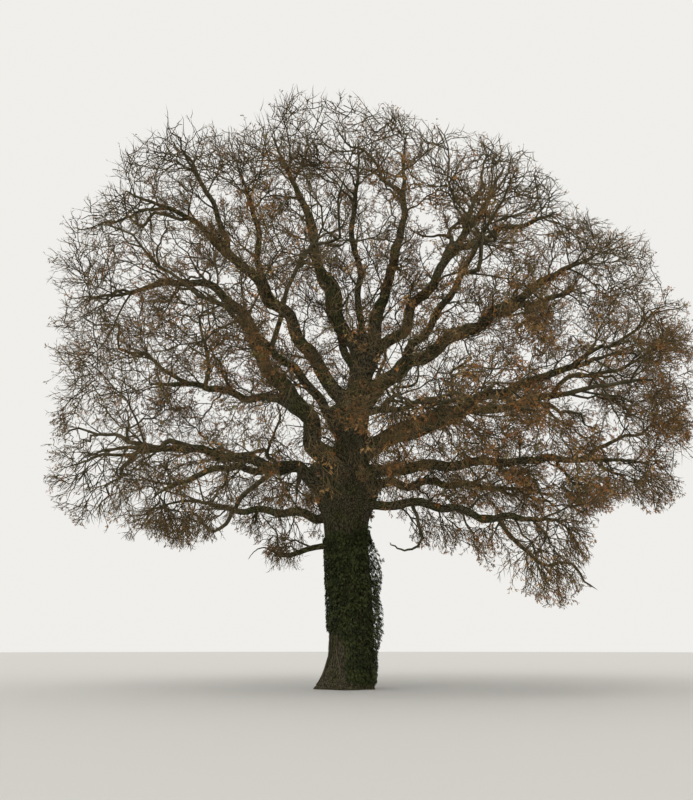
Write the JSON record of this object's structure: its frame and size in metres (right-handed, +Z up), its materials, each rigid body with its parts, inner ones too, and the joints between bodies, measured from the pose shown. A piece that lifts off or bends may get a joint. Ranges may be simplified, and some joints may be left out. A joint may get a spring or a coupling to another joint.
{
  "type": "oak tree",
  "caption": "Large open-grown oak in early winter with a short thick ivy-clad trunk, spreading boughs and masses of twigs that still hold some dry brown leaves.",
  "frame": {"origin": "middle of the flat cut under the trunk, at ground level", "axes": "+Z up along the trunk, -Y towards the viewer of the picture, +X to the viewer's right"},
  "size_m": [24.5803, 22.3754, 23.3893],
  "materials": {
    "bark": "deeply furrowed grey-brown oak bark with green algae and moss",
    "twigs": "thin grey-brown twigs with dry brown and russet leaves",
    "leaves": "dry curled oak leaves, brown and russet with some olive",
    "ivy": "dense dark green ivy leaves with a dull gloss"
  },
  "bodies": {
    "root": {"trunk": "bark", "bough_left_limb": "bark", "bough_left_stem": "bark", "bough_leader_left": "bark", "bough_leader_right": "bark", "bough_leader_middle": "bark", "bough_right_high": "bark", "bough_right_upper": "bark", "bough_right_limb": "bark", "bough_right_mid": "bark", "bough_right_level": "bark", "bough_right_low": "bark", "bough_right_low_back": "bark", "bough_left_level": "bark", "bough_left_low": "bark", "bough_left_stub": "bark", "bough_front_left": "bark", "bough_front": "bark", "bough_front_right": "bark", "bough_back_left": "bark", "bough_back_right": "bark", "bough_back_upper": "bark", "bough_back_top": "bark", "bough_left_arch": "bark", "bough_left_back": "bark", "bough_left_upright": "bark", "bough_left_high": "bark", "bough_left_crook": "bark", "bough_left_front": "bark", "bough_right_outer": "bark", "bough_right_high_out": "bark", "twigs_leader_left": "twigs", "twigs_leader_right": "twigs", "twigs_leader_middle": "twigs", "twigs_right_high": "twigs", "twigs_right_upper": "twigs", "twigs_right_limb": "twigs", "twigs_right_mid": "twigs", "twigs_right_level": "twigs", "twigs_right_low": "twigs", "twigs_right_low_back": "twigs", "twigs_left_level": "twigs", "twigs_left_low": "twigs", "twigs_left_stub": "twigs", "twigs_front_left": "twigs", "twigs_front": "twigs", "twigs_front_right": "twigs", "twigs_back_left": "twigs", "twigs_back_right": "twigs", "twigs_back_upper": "twigs", "twigs_back_top": "twigs", "twigs_left_arch": "twigs", "twigs_left_back": "twigs", "twigs_left_upright": "twigs", "twigs_left_high": "twigs", "twigs_left_crook": "twigs", "twigs_left_front": "twigs", "twigs_right_outer": "twigs", "twigs_right_high_out": "twigs", "ivy": "ivy"}
  },
  "joints": []
}
